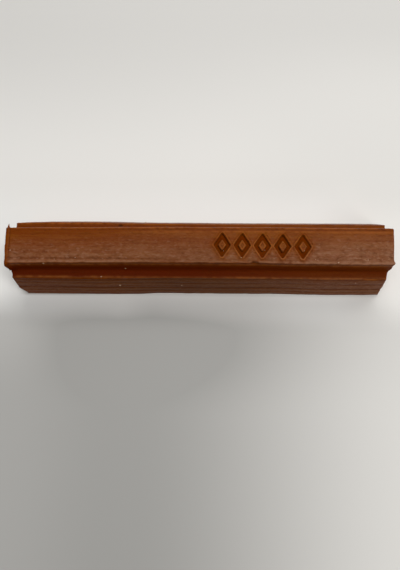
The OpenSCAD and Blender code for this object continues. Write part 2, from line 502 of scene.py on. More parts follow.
# How far the front of each cut end stands out in mm, each with its height above the table in mm
LEFT_END_RAGS = ((0, 0), (7.3, 0.0), (8.1, 0.4), (9.4, 0.0), (14, 0))
RIGHT_END_RAGS = (
    (0, 0), (7.3, 0.0), (8.4, 0.38), (9.8, 0.36), (11.7, 0.1), (12.4, -0.12), (12.9, 0.1), (13.2, 0.22),
)
# Height of the point that the caps shrink towards, as a share of the bar's height
HEART = 0.4


def section_relief(x, ring, guide):
    """Slow waves and fine relief along the outward normal, which drawing and handling left all over.

    Both are sums of lattice noises: slow waves, hand dents, and drag lines that are long in X and narrow
    round the section. Long edges have small nicks, Gaussian creases and beads, and the front side has a
    few grooves from the die.
    """
    round_share = ring.along / guide.perimeter

    def noise(step_x, step_round, seed):
        cells = max(2, round(guide.perimeter / (step_round * MM)))
        return lattice_noise(x / (step_x * MM), round_share * cells, seed, min(cells, NOISE_CELLS))

    def noises(layers):
        return MM * sum(height * noise(*steps) for height, *steps in layers)

    def lines(layers):
        return MM * sum(height * edge_line(ring, guide, *place) for *place, height in layers)

    relief = noises(DRAG_LINES) + (ring.run == TOP) * noises(FACE_LINES)
    # The front half of the pressed face is pebbled where hands have worked it, most near both ends
    from_edge = guide.edges[RIB_EDGE] - ring.along
    near_front = (ring.run == TOP) * ramp(from_edge, 0.1, 0.4) * ramp(from_edge, 4.93, 2.03)
    worked = 0.45 + 0.55 * ramp(np.abs(x + 4 * MM), 8.4, 22.4)
    pebbled = near_front * worked * noises(PEBBLES)
    nicks = np.clip(noise(0.55, 1.5, 5) - 0.25, 0, 1) + np.clip(noise(1.7, 3, 6), 0, 1)
    relief -= NICK_DEPTH * np.isin(ring.run, LONG_EDGES) * nicks
    relief += lines(CREASES) + (0.2 + 0.8 * ramp(x, -5.6, -19.6)) * lines([BEAD_CREASE])
    lumps = 0.55 + 0.6 * wander(x, 1.3, 10) + 0.3 * wander(x, 0.45, 14)
    relief += np.clip(lumps, 0, 1.3) * lines(BEADS)
    fall = (ring.along - guide.side_start) / (guide.side_end - guide.side_start)
    drift = 0.026 * wander(x, 9, 7) + 0.09 * ramp(x, -21, 9)
    for share, depth in DIE_LINES:
        strength = 0.75 + 0.45 * wander(x, 7, 8, share * 40)
        relief -= depth * MM * strength * bell((fall - share - drift) / DIE_LINE_SPREAD)
    # Half of the pebbling counts as waves, so that only the other half gets painted shade and highlights
    return noises(SLOW_WAVES) + 0.5 * pebbled, relief + 0.5 * pebbled


def face_spots(x, y):
    """Height of the blisters and pits: each is a Gaussian bump with a fainter ring of the other sign."""
    relief = 0.0
    for spot_x, spot_y, radius, height in FACE_SPOTS:
        away = np.hypot(x / MM - spot_x, y / MM - spot_y) / radius
        relief = relief + height * MM * (bell(away) - 0.5 * bell((away - 1.5) / 0.4))
    return relief


def chip_bites(x, chips):
    """Depth of the chips along X: each is a flattened parabola, as long and deep as the list says."""
    bites = 0.0
    for place, length, depth in chips:
        bites = bites + depth * MM * np.clip(1 - ((x / MM - place) / (length / 2)) ** 2, 0, 1) ** 0.6
    return bites


def edge_chips(x, ring, guide, edge, chips):
    """Depth of the scoops out of a long edge, fading round the section as a Gaussian."""
    away = (ring.along - guide.edges[edge]) / CHIP_SPREAD
    return chip_bites(x, chips) * bell(away) * (np.abs(away) < 4)


def bar_surface(rows, ring, guide, shape, row):
    """Points of the bar for every station and every place round the section, and four shares of each:
    how far it is pressed, how strong the painted highlight on a mark's lip is, how near it is to a mark,
    and how far it is raised by the fine relief, which is from -1 to 1.

    A point is the section's point at that place, moved along its normal by the relief and, at the ends,
    drawn in by the end's rounding. The caps are the last ring shrunk towards a point inside the rib's
    foot. The ends lean and wave a little, and the used end's bottom edge is worn to a quarter circle.
    """
    x, inset, shrink = (value[:, None] for value in rows)
    rib = shape.rib_width / 2
    foot = shape.height - shape.rib_height
    half_way = np.abs(ring.y)
    in_front = ring.y < 0
    base = ring.run == BASE
    on_top = np.isin(ring.run, (TOP, BACK_RIB_EDGE, RIB_EDGE))
    inside_face = ramp(rib - half_way, 0.1, 0.45) * on_top
    waves, relief = section_relief(x, ring, guide)
    marks, *shares = pressed_relief(x, ring.y, row)
    spots = face_spots(x, ring.y) * on_top
    knife_x, knife_spread, knife_depth = KNIFE_LINE
    knife_line = knife_depth * ridge(x, knife_x, knife_spread) * ridge(ring.y, 1.0, 2.0) ** 0.5 * on_top
    relief += marks * inside_face + 0.5 * spots - knife_line - edge_chips(x, ring, guide, RIB_EDGE, RIB_CHIPS)
    shares = [share * inside_face for share in shares] + [np.clip(relief / FULL_RELIEF, -1.0, 1.0)]
    relief += waves + 0.5 * spots - edge_chips(x, ring, guide, LEDGE_EDGE, LEDGE_CHIPS)
    # The bar isn't quite straight: its rib's front edge and both flanks bow in and out along it
    flank_bow = MM * ramp(half_way - rib, 0, 2) * np.where(in_front, eased(x, FRONT_BOW), eased(x, BACK_BOW))
    relief += flank_bow - shape.crown * on_top * (ring.y / rib) ** 2
    # The base is a little hollow and never reaches below the table
    hollow = BASE_HOLLOW * smooth_step(1 - half_way / (rib + shape.ledge_width))
    relief = np.where(base, np.minimum(relief, 0) - hollow, relief - shape.skin) - inset
    # Where an edge sinks by more than its radius, it stays a sharp edge instead of folding over
    beyond = np.minimum(relief + ring.spare, 0)
    relief = relief - beyond
    z = ring.z + relief * ring.normal_z + beyond * ring.mitre_z
    y = ring.y + relief * ring.normal_y + beyond * ring.mitre_y
    # The rib's bow fades out towards its foot and towards the middle of the face
    upper = smooth_step(1.25 - (shape.height - ring.z) / shape.rib_height) * (ring.z > foot)
    upper = upper * smooth_step((half_way / rib - 0.72) / 0.28)
    y += MM * upper * np.where(in_front, -eased(x, RIB_BOW), eased(x, BACK_RIB_BOW))
    y += base * flank_bow * np.sign(ring.y)
    thread_x, thread_spread, thread_size = THREAD
    thread = thread_size * ridge(x, thread_x, thread_spread) * (ring.y > 0)
    y += thread * ridge(ring.z - shape.height, 0, 0.45)
    wall = ramp(ring.z - foot, 0, 1) * ramp(shape.height - ring.z, 0, 0.5) * in_front
    fold = ridge(np.abs(x) - shape.length / 2, 0, 0.8) * wall
    y -= np.where(x < 0, LEFT_FOLD, RIGHT_FOLD) * fold
    heart_z = HEART * shape.height
    y = y * shrink
    z = heart_z + (z - heart_z) * shrink
    x = end_places(x, y, z, shrink, shape)
    x, z = worn_edge(x, z, -shape.length / 2, shape.worn_edge_radius)
    return np.stack([x, y, z], -1), [share * (shrink >= 1) for share in shares]


def end_places(x, y, z, shrink, shape):
    """X of every point once the ends have their lean, waves and torn foot, which fade into the bar.

    What each end loses is a sum of lattice noises, Gaussian dents and cubic ramps of Y and Z.
    """
    half = shape.length / 2
    rib = shape.rib_width / 2
    over_foot = z - (shape.height - shape.rib_height)
    at_rim = smooth_step((shrink - 0.8) / 0.2)
    lost_corner = smooth_step((y - rib) / shape.ledge_width)
    front = ramp(-y, 2.9, 3.7) * ramp(-y, 5.3, 4.6)
    both = sum([
        0.03 * (1 + (0.3 + 0.7 * at_rim) * patches(y, z, 2.6, 3.4, 11)),  # waves
        0.012 * (1 + at_rim * patches(y, z, 0.7, 6, 12)),  # cut lines
        0.09 * at_rim * (1 + patches(y, z, 0.9, 0.6, 13)) * ramp(z, 1.4, 0),  # torn foot
        0.09 * ridge(np.hypot(y, z - HEART * shape.height), 0, 3.5),  # dish
    ])
    left = both + sum([
        0.05 + 0.3 * lost_corner - front * eased(z, LEFT_END_RAGS),
        0.1 * ramp(y, -0.2, 0.1),  # step of the second cut
        0.3 * smooth_step(0.3 - y / (2 * rib)) * ramp(over_foot, 0, 3),  # lean of the rib's front
        -0.17 * ridge(y + rib, -0.3, 1) * ramp(over_foot, 0, 1),
        0.14 * ramp(y, 0, -4) * ramp(over_foot, 1, 0),  # lean below the ledge
        1.05 * ramp(-y, 6.4, 8.2) * ramp(z, 3.36, 0.96),  # corner knocked off at the foot
    ])
    right = both + sum([
        0.24 * lost_corner - front * eased(z, RIGHT_END_RAGS),
        0.24 * smooth_step((rib - y) / (2 * rib)),  # lean towards the front
        0.16 * at_rim * smooth_step(patches(y, z, 0.55, 0.9, 15)) * (over_foot < 0),  # nibbled rim
        -0.24 * ridge(y, -3.35, 0.38) * ramp(z - shape.height, -0.8, 0),  # burr on the rib's edge
        0.15 * ridge(y, -6.1, 0.6) * ridge(over_foot, 0, 0.7),  # dent in the ledge
    ])
    return x + MM * ramp(x + half, 3, 0) ** 2 * left - MM * ramp(half - x, 3, 0) ** 2 * right


def worn_edge(x, z, end, radius):
    """Pulls what lies outside a quarter circle at the end's bottom edge in to that circle."""
    from_x = end + radius - x
    from_z = radius - z
    away = np.hypot(from_x, from_z)
    outside = (from_x > 0) & (from_z > 0) & (away > radius)
    scale = np.where(outside, radius / np.maximum(away, radius), 1.0)
    return end + radius - from_x * scale, radius - from_z * scale


# Mesh of the bar


def even_stations(marks):
    """Places along X that run evenly from each (place, step) to the next, at about the given step."""
    places = [np.array([marks[0][0]])]
    for (start, step), (end, _) in zip(marks, marks[1:]):
        parts = max(1, round((end - start) / step))
        places.append(np.linspace(start, end, parts + 1)[1:])
    return np.concatenate(places)


def bar_rows(shape, row):
    """Stations from the left cap's innermost ring to the right cap's, and where the marks begin and end."""
    cap_rings, round_parts = 14, 4
    half = shape.length / 2
    edge = shape.end_edge_radius
    margin = 0.9 * MM
    row_half = row.pitch * (row.count - 1) / 2 + row.mark_width / 2 + margin
    row_start, row_end = row.offset - row_half, row.offset + row_half
    worn_end, spotted_end = -half + 2.4 * MM, 33.8 * MM
    tube = even_stations([
        (-half + edge, 0.12 * MM), (worn_end, 0.28 * MM), (row_start, 0.28 * MM),
        (row_end, 0.3 * MM), (spotted_end, 0.17 * MM), (half - edge, 0.0),
    ])
    turn = np.linspace(0.0, math.pi / 2, round_parts + 1)[1:]
    cap = Rows(
        np.concatenate([half - edge + edge * np.sin(turn), np.full(cap_rings, half)]),
        np.concatenate([edge * (1 - np.cos(turn)), np.full(cap_rings, edge)]),
        np.concatenate([np.ones(round_parts), 1 - (np.arange(1, cap_rings + 1) / (cap_rings + 1)) ** 1.25]),
    )
    rows = Rows(
        np.concatenate([-cap.x[::-1], tube, cap.x]),
        np.concatenate([cap.inset[::-1], 0 * tube, cap.inset]),
        np.concatenate([cap.shrink[::-1], 1 + 0 * tube, cap.shrink]),
    )
    ends = (len(cap.x) + int(np.argmin(np.abs(tube - place))) for place in (row_start, row_end))
    return rows, tuple(ends)


def finer(values, span, parts):
    """Values from the first index to the last with parts - 1 even steps put in between each two."""
    first, last = span
    places = first + np.arange((last - first) * parts + 1) / parts
    return np.interp(places, np.arange(len(values)), values)


def grid_faces(numbers):
    """Quads of a grid of vertex numbers, as an array by row, column and corner."""
    return np.stack([numbers[:-1, :-1], numbers[:-1, 1:], numbers[1:, 1:], numbers[1:, :-1]], -1)


def closed(numbers, axis):
    """The grid of vertex numbers with its first row or column once more at its end."""
    return np.concatenate([numbers, numbers.take([0], axis)], axis)


def fan_faces(pole, ring, turned=False):
    """Triangles from a pole to each two neighbours of a closed ring, turned to face the other way."""
    beside = np.roll(ring, -1)
    pair = (beside, ring) if turned else (ring, beside)
    return np.stack([np.full(len(ring), pole), *pair], 1)


def face_list(blocks):
    """Faces of all blocks as lists of vertex numbers; the last axis of a block is the corners."""
    return [face for block in blocks for face in block.reshape(-1, block.shape[-1]).tolist()]


def bar_faces(row_count, ring_count, rows_cut, ring_cut, parts):
    """Faces of the bar as lists of vertex numbers, and which points of the fine grid are new vertices.

    The surface is a grid that closes round the section, with a pole at each end. A block of the grid,
    where the marks are, is swapped for a grid that is finer by whole numbers, and the faces round the
    block take the finer grid's border points into their sides, so nothing is left open.
    """
    first, last = rows_cut
    low, high = ring_cut
    parts_x, parts_y = parts
    pole = row_count * ring_count
    numbers = np.arange(pole).reshape(row_count, ring_count)
    quads = grid_faces(closed(numbers, 1))
    i, j = np.indices(quads.shape[:2])
    in_rows = (i >= first) & (i < last)
    in_ring = (j >= low) & (j < high)
    beside = (in_ring & ((i == first - 1) | (i == last))) | (in_rows & ((j == low - 1) | (j == high)))
    plain = quads[~((in_rows & in_ring) | beside)]
    # Vertex numbers of the fine grid: those on the coarse grid's border points are shared
    fine_x, fine_y = (last - first) * parts_x + 1, (high - low) * parts_y + 1
    a, b = np.indices((fine_x, fine_y))
    on_border = (a == 0) | (a == fine_x - 1) | (b == 0) | (b == fine_y - 1)
    shared = on_border & (a % parts_x == 0) & (b % parts_y == 0)
    fine = numbers[first + a // parts_x, low + b // parts_y]
    fine[~shared] = pole + 2 + np.arange((~shared).sum())

    def border(line, count):
        """Rows of count + 1 numbers, one for each coarse side of the block's border."""
        return np.lib.stride_tricks.sliding_window_view(line, count + 1)[::count]

    left = np.hstack([quads[first - 1, low:high, :2], border(fine[0], parts_y)[:, ::-1]])
    right = np.hstack([border(fine[-1], parts_y), quads[last, low:high, 2:]])
    lower_side, upper_side = quads[first:last, low - 1], quads[first:last, high]
    lower = np.hstack([lower_side[:, :1], border(fine[:, 0], parts_x), lower_side[:, 3:]])
    upper = np.hstack([upper_side[:, 1:3], border(fine[:, -1], parts_x)[:, ::-1]])
    caps = fan_faces(pole, numbers[0], turned=True), fan_faces(pole + 1, numbers[-1])
    return face_list([plain, grid_faces(fine), left, right, lower, upper, *caps]), ~shared


def new_mesh_object(name, points, faces):
    """Smooth mesh object in the scene, made only if Blender finds nothing wrong with its faces."""
    mesh = bpy.data.meshes.new(name)
    mesh.from_pydata(points, [], faces)
    mesh.polygons.foreach_set("use_smooth", np.ones(len(mesh.polygons), bool))
    mesh.update()
    if mesh.validate():
        raise RuntimeError(f"{name} has faces that Blender had to correct")
    piece = bpy.data.objects.new(name, mesh)
    bpy.context.scene.collection.objects.link(piece)
    return piece


# Wear of the bar, and the painted sheen, highlights and shade on it

# How strongly and how far from the front edge, in half rib widths, the pressed face is scuffed and
# painted with sheen, which is strongest towards the right end
SCUFF_AND_SHEEN_STRENGTH = ((-40, 0.82), (-22, 0.8), (-4, 0.5), (18, 0.62), (30, 0.98), (40, 1.0))
SCUFF_AND_SHEEN_REACH = ((-40, 0.8), (-24, 0.85), (-6, 1.25), (16, 1.1), (40, 1.15))
BACK_SIDE_SCUFF, BASE_SCUFF, CUT_FACE_SCUFF = 0.35, 0.6, 0.25
# How much of the scuffing and painted sheen is missing beside a mark
SPARED_BESIDE_MARKS = 0.72
# How strong the painted highlight along the front edge of the ledge is
LEDGE_HIGHLIGHT = ((-40, 1.0), (-22, 0.9), (-10, 0.5), (4, 0.7), (13, 1.7), (24, 1.5), (40, 1.3))
# How much of the front side's painted shade lies on the front of the pressed face
FACE_FRONT_SHADE = 0.45


def scuff_and_sheen_share(points, ring, guide, shape):
    """How far the surface is scuffed and painted with sheen: most on the front half of the pressed face,
    by the two lists above, and more evenly on the flared sides, the base and the front ledge's lip; the
    painted sheen grows towards the right end."""
    x, y, _ = np.moveaxis(points, -1, 0)
    rib = shape.rib_width / 2
    top = smooth_step((eased(x, SCUFF_AND_SHEEN_REACH) * rib - y) / (2 * rib)) * eased(x, SCUFF_AND_SHEEN_STRENGTH)
    rounding = 0.12 + 0.3 * ramp(x, 8, 28)
    on_top = np.isin(ring.run, (TOP, BACK_RIB_EDGE)) + rounding * (ring.run == RIB_EDGE)
    # Painted sheen on the front side, stronger towards the right end
    side = 0.23 + 0.37 * ramp(x, 0, 36)
    fall = (ring.along - guide.side_start) / (guide.side_end - guide.side_start)
    on_side = (ring.run == FRONT_SIDE) * side * smooth_step(fall / 0.3 + 0.15)
    on_side += (ring.run == BACK_SIDE) * BACK_SIDE_SCUFF + (ring.run == BASE) * BASE_SCUFF
    on_side += (0.12 + 0.08 * ramp(x, 0, 20)) * edge_line(ring, guide, LEDGE_EDGE, -0.3, 0.3)
    inland = ramp(shape.length / 2 + x, 0.375, 1.875)
    return np.clip(top * on_top * inland + on_side, 0, 1)


def edge_highlight_share(x, ring, guide, shape):
    """How strongly the long edges carry a painted highlight: a Gaussian line along each, broken up by
    lattice noise, a few further lines beside them and a patch in the ledge's chips, which fade out at the
    worn end."""
    rib_bites, ledge_bites = chip_bites(x, RIB_CHIPS), chip_bites(x, LEDGE_CHIPS)
    rib_line = 0.2 + 0.8 * ramp(np.abs(x - 2 * MM), 7.2, 25.2) + 0.3 * ramp(x, 16, 36)
    ledge_place = -0.32 + 0.13 * ramp(x, 6, 26) + 1.5 * ledge_bites / MM
    lines = 0.0
    for edge, offset, spread, strength, seed in (
        (RIB_EDGE, -0.26, 0.26, rib_line * ramp(rib_bites, 0.2, 0), 31),
        (LEDGE_EDGE, ledge_place, 0.21, eased(x, LEDGE_HIGHLIGHT), 32),
        (BACK_RIB_EDGE, 0.08, 0.2, 1.1, 33),
        (BACK_LEDGE_EDGE, 0.1, 0.18, 0.7, 34),
        (BACK_RIB_EDGE, 0.85, 0.2, 0.6 * ramp(x, -20, 0), 35),
        (RIB_EDGE, 1.2, 0.55, 0.75, 36),
    ):
        uneven = np.clip(0.7 + 0.25 * wander(x, 6, seed) + 0.6 * wander(x, 0.7, seed, 1.0), 0, 1)
        lines = lines + strength * uneven * edge_line(ring, guide, edge, offset, spread)
    chipped = ramp(ledge_bites, 0, 0.3) * edge_line(ring, guide, LEDGE_EDGE, 0, 0.4)
    return np.clip(lines + 0.35 * chipped, 0, 1) * ramp(x + shape.length / 2, 0.48, 1.68)


def grid_values(rows, ring, guide, shape, row, has_edges):
    """Points of a grid and, by attribute name, the values that the wax reads there: how far a place is
    pressed and raised, and how much painted shade in coves, scuffing with painted sheen, painted
    highlight on edges and lips, and painted shade on the front it has."""
    points, (pressed, rim, near, raised) = bar_surface(rows, ring, guide, shape, row)
    x = rows.x[:, None]
    body = rows.shrink[:, None] >= 1
    run = ring.run
    over_foot = (ring.z - (shape.height - shape.rib_height)) / shape.rib_height
    # Painted shade where the rib keeps off the light from behind: front ledge, cove and wall foot, and a
    # quarter as much at the back
    rib_shade = np.isin(run, (FRONT_LEDGE, COVE)) + 0.25 * np.isin(run, (BACK_LEDGE, BACK_COVE))
    rib_shade += ((run == FRONT_WALL) + 0.4 * (run == BACK_WALL)) * smooth_step(1.25 - over_foot)
    scuff_sheen = scuff_and_sheen_share(points, ring, guide, shape) * (1 - pressed) * (1 - SPARED_BESIDE_MARKS * near)
    edge_highlight = edge_highlight_share(x, ring, guide, shape) * body if has_edges else 0.0
    # Painted shade on the front side and on the front of the pressed face
    front_shaded = (run == FRONT_SIDE) + FACE_FRONT_SHADE * (run == TOP) * smooth_step(0.35 - ring.y / shape.rib_width)
    return points, {
        "pressed": pressed,
        "raised": raised,
        # The painted shade is half as strong at the right end, where more light falls
        "shaded": rib_shade * (1 - 0.5 * ramp(x, -4, 36)) * body,
        "scuff_and_sheen": np.where(body, scuff_sheen, CUT_FACE_SCUFF),
        # Painted highlights along the long edges and on the marks' lips
        "edge": np.maximum(edge_highlight, rim),
        # Painted front shade, strongest in the middle of the bar
        "front_shade": ridge(x, -2, 22) * front_shaded * body,
    }


def wax_bar_piece(shape, row):
    """The bar as one closed mesh, with its point values; the marks lie in a patch of a finer grid.

    The vertices are those of the grid, the two poles and the patch, in this order.
    """
    # Steps of the patch to one of the grid, and half the patch's width
    parts_x, parts_y = 4, 3
    patch_half = 2.95 * MM
    ring = bar_section(shape)
    guide = section_guide(ring)
    rows, rows_cut = bar_rows(shape, row)
    inside = np.flatnonzero((ring.run == TOP) & (np.abs(ring.y) < patch_half))
    ring_cut = int(inside[0]), int(inside[-1])
    fine_rows = Rows(*(finer(value, rows_cut, parts_x) for value in rows))
    fine_ring = Ring(*(finer(value, ring_cut, parts_y) for value in ring))
    points, values = grid_values(rows, ring, guide, shape, row, has_edges=True)
    fine_points, fine_values = grid_values(fine_rows, fine_ring, guide, shape, row, has_edges=False)
    faces, added = bar_faces(len(rows.x), len(ring.y), rows_cut, ring_cut, (parts_x, parts_y))
    poles = points[[0, -1]].mean(1)
    vertices = np.concatenate([points.reshape(-1, 3), poles, fine_points[added]])
    piece = new_mesh_object("wax_bar_body", np.clip(vertices, np.array(CAD_LOW), np.array(CAD_HIGH)), faces)
    for name, value in values.items():
        at_poles = [CUT_FACE_SCUFF if name == "scuff_and_sheen" else 0.0] * 2
        layer = piece.data.attributes.new(name, "FLOAT", "POINT")
        whole = np.concatenate([value.ravel(), at_poles, fine_values[name][added]])
        layer.data.foreach_set("value", whole.astype(np.float32))
    return piece


# Crumbs that stuck to the wax, some set in the marks as pale glints, as (place along X, run of the
# section, share of the run, radius); the place and the radius are in mm
CRUMBS = (
    (-31.6, FRONT_WALL, 0.02, 0.13), (28.6, TOP, 0.985, 0.12), (-20.5, FRONT_LEDGE, 0.93, 0.13),
    (-17.0, FRONT_SIDE, 0.4, 0.16), (-3.6, FRONT_SIDE, 0.46, 0.12), (-15.2, FRONT_WALL, 0.9, 0.12),
    (-38.6, TOP, 0.66, 0.11), (-12.0, BACK_SIDE, 0.35, 0.14), (15.0, BACK_WALL, 0.8, 0.12),
    (9.0, TOP, 0.86, 0.09), (-29.3, TOP, 0.93, 0.07), (33.5, FRONT_SIDE, 0.2, 0.08),
    (-25.0, TOP, 0.88, 0.06), (34.5, TOP, 0.9, 0.07), (13.8, TOP, 0.625, 0.07),
    (5.4, TOP, 0.635, 0.06), (21.8, TOP, 0.64, 0.075), (24.0, TOP, 0.9, 0.06),
)
# Grid of a grain: points round it, and rings between its top and its bottom point
CRUMB_SIDES, CRUMB_RINGS = 12, 7
# Length and height of a grain against its width, and how far its middle lies above the wax, in radii
CRUMB_LENGTH, CRUMB_HEIGHT, CRUMB_LIFT = 1.35, 0.8, 0.25


def crumb_points(centre, radius, number):
    """A lumpy grain: a sphere on a grid of longitude and latitude, flattened and turned about Z by its
    number. Its width varies by a product of sines of the two angles and a sine of the longitude."""
    around, up = np.meshgrid(
        np.linspace(0, 2 * np.pi, CRUMB_SIDES + 1)[:-1], np.linspace(0, np.pi, CRUMB_RINGS + 2)[1:-1],
        indexing="ij",
    )
    lumps = 1 + 0.22 * np.sin(3 * around + number) * np.sin(2 * up + number)
    width = np.sin(up) * (lumps + 0.12 * np.sin(5 * around - number))
    turn = around + 0.7 * number
    grid = np.stack([
        CRUMB_LENGTH * width * np.cos(turn), width * np.sin(turn), CRUMB_HEIGHT * np.cos(up),
    ], -1)
    ends = np.array([[0.0, 0.0, CRUMB_HEIGHT], [0.0, 0.0, -CRUMB_HEIGHT]])
    return centre + radius * np.concatenate([grid.reshape(-1, 3), ends])


def crumb_faces(start):
    """Faces of one grain: quads over the grid, and triangles to its top and bottom points."""
    pole = start + CRUMB_SIDES * CRUMB_RINGS
    numbers = np.arange(start, pole).reshape(CRUMB_SIDES, CRUMB_RINGS)
    top, bottom = fan_faces(pole, numbers[:, 0]), fan_faces(pole + 1, numbers[:, -1], turned=True)
    return face_list([grid_faces(closed(numbers, 0)), top, bottom])


def crumbs_piece(shape, row):
    """Grains of scraped wax, each with its centre a quarter of its radius above the wax at its place."""
    ring = bar_section(shape)
    guide = section_guide(ring)
    points, faces = [], []
    for number, (place, run, share, radius) in enumerate(CRUMBS):
        radius = radius * MM
        on_run = np.flatnonzero(ring.run == run)
        spot = on_run[[round(share * (len(on_run) - 1))]]
        own_row = Rows(np.array([place * MM]), np.array([0.0]), np.array([1.0]))
        own = Ring(*(value[spot] for value in ring))
        centre = bar_surface(own_row, own, guide, shape, row)[0][0, 0]
        centre = centre + CRUMB_LIFT * radius * np.array([0.0, own.normal_y[0], own.normal_z[0]])
        centre = np.clip(centre, np.array(CAD_LOW) + radius, np.array(CAD_HIGH) - radius)
        faces += crumb_faces(number * (CRUMB_SIDES * CRUMB_RINGS + 2))
        points.append(crumb_points(centre, radius, number))
    return new_mesh_object("wax_crumbs", np.concatenate(points), faces)


# Materials


class Wiring:
    """Short calls that add nodes to a tree and link them; a value is a number or another node's socket."""

    def __init__(self, tree):
        self.tree = tree

    def put(self, socket, value):
        """Links the value to an input, or sets the input to it; a colour is given without its alpha."""
        if isinstance(value, bpy.types.NodeSocket):
            self.tree.links.new(value, socket)
        elif socket.type == "RGBA":
            socket.default_value = (*value, 1.0)
        else:
            socket.default_value = value

    def node(self, kind, inputs=None, **settings):
        """A new node with its own settings and the values of its inputs, by name or number."""
        made = self.tree.nodes.new(kind)
        for key, value in settings.items():
            setattr(made, key, value)
        for key, value in (inputs or {}).items():
            self.put(made.inputs[key], value)
        return made

    def group(self, name, inputs):
        """Outputs of the shared node group of that name."""
        return self.node("ShaderNodeGroup", inputs, node_tree=shared_group(name)).outputs

    def place(self):
        return self.node("ShaderNodeTexCoord").outputs["Object"]

    def attribute(self, name):
        return self.node("ShaderNodeAttribute", attribute_name=name).outputs["Fac"]

    def maths(self, operation, a, b, clamp=False):
        return self.node("ShaderNodeMath", {0: a, 1: b}, operation=operation, use_clamp=clamp).outputs[0]

    def plus(self, a, b):
        return self.maths("ADD", a, b)

    def minus(self, a, b):
        return self.maths("SUBTRACT", a, b)

    def most(self, a, b):
        return self.maths("MAXIMUM", a, b)

    def times(self, product, *factors):
        for factor in factors:
            product = self.maths("MULTIPLY", product, factor)
        return product

    def ramp(self, value, start, end):
        """0 at start, 1 at end and a smooth step between; it falls where end is the lower."""
        made = self.node("ShaderNodeMapRange", {0: value, 1: start, 2: end}, interpolation_type="SMOOTHSTEP")
        return made.outputs[0]

    def band(self, value, rise, fall):
        """Product of two ramps, each as (start, end)."""
        return self.times(self.ramp(value, *rise), self.ramp(value, *fall))

    def mix(self, share, a, b):
        """Mix of two colours."""
        return self.node("ShaderNodeMix", {0: share, 6: a, 7: b}, data_type="RGBA").outputs[2]

    def between(self, share, a, b):
        """Mix of two numbers."""
        return self.node("ShaderNodeMix", {0: share, 2: a, 3: b}, data_type="FLOAT").outputs[0]

    def noise(self, vector, scale, detail=2.0, roughness=0.5):
        inputs = {"Vector": vector, "Scale": scale, "Detail": detail, "Roughness": roughness}
        return self.node("ShaderNodeTexNoise", inputs).outputs[0]

    def along_x(self, vector, share):
        """The vector with its X shortened, so that a pattern on it is drawn out along X."""
        scale = (share, 1.0, 1.0)
        return self.node("ShaderNodeVectorMath", {0: vector, 1: scale}, operation="MULTIPLY").outputs[0]


def new_group(name, inputs, outputs):
    """Wiring of an empty node group, the sockets that it is given and the sockets to put its results in.

    The inputs come after the vector, as names with their usual values.
    """
    group = bpy.data.node_groups.new(name, "ShaderNodeTree")
    group.interface.new_socket(name="Vector", in_out="INPUT", socket_type="NodeSocketVector")
    for label, default in inputs.items():
        socket = group.interface.new_socket(name=label, in_out="INPUT", socket_type="NodeSocketFloat")
        socket.default_value = default
    for label in outputs:
        group.interface.new_socket(name=label, in_out="OUTPUT", socket_type="NodeSocketFloat")
    given = group.nodes.new("NodeGroupInput").outputs
    return Wiring(group), given, group.nodes.new("NodeGroupOutput").inputs


def drag_line_group():
    """Lines along X in two widths: noise that is drawn out about eightyfold and twentyfold."""
    wiring, given, result = new_group("drag_lines", {"Lines": 1400.0}, ("Height", "Mask"))
    broad = wiring.noise(wiring.along_x(given["Vector"], 0.012), given["Lines"], 3.0, 0.6)
    narrow = wiring.noise(wiring.along_x(given["Vector"], 0.05), wiring.times(given["Lines"], 2.6))
    height = wiring.plus(wiring.times(broad, 0.65), wiring.times(narrow, 0.35))
    wiring.put(result["Height"], height)
    wiring.put(result["Mask"], wiring.ramp(height, 0.42, 0.6))
    return wiring.tree


def fine_grain_group():
    """Grain of a matt surface: fine noise, and sparse pits where a cell pattern comes near its points."""
    inputs = {"Grain": 2600.0, "Pits": 420.0, "Pit Size": 0.16}
    wiring, given, result = new_group("fine_grain", inputs, ("Height", "Pits"))
    grain = wiring.noise(given["Vector"], given["Grain"], 3.0, 0.55)
    cells = wiring.node("ShaderNodeTexVoronoi", {"Vector": given["Vector"], "Scale": given["Pits"]}).outputs
    chosen = wiring.ramp(wiring.noise(cells["Position"], 900.0, 0.0), 0.66, 0.72)
    pits = wiring.times(wiring.ramp(cells["Distance"], given["Pit Size"], 0.0), chosen)
    wiring.put(result["Height"], wiring.minus(grain, wiring.times(pits, 1.5)))
    wiring.put(result["Pits"], pits)
    return wiring.tree


GROUP_MAKERS = {"fine_grain": fine_grain_group, "drag_lines": drag_line_group}


def shared_group(name):
    """The node group of that name, made the first time it is asked for."""
    return bpy.data.node_groups.get(name) or GROUP_MAKERS[name]()


def new_material(name):
    """Material with one shader, the wiring of its tree and the shader's inputs."""
    material = bpy.data.materials.new(name)
    material.use_nodes = True
    material.node_tree.nodes.clear()
    wiring = Wiring(material.node_tree)
    shader = wiring.node("ShaderNodeBsdfPrincipled")
    wiring.node("ShaderNodeOutputMaterial", {"Surface": shader.outputs[0]})
    return material, wiring, shader.inputs


def set_inputs(wiring, inputs, values, height, strength, depth):
    """Puts the values on the shader's inputs, and the bumps of the height on its normal."""
    for name, value in values.items():
        wiring.put(inputs[name], value)
    bump = wiring.node("ShaderNodeBump", {"Strength": strength, "Distance": depth, "Height": height})
    wiring.put(inputs["Normal"], bump.outputs[0])


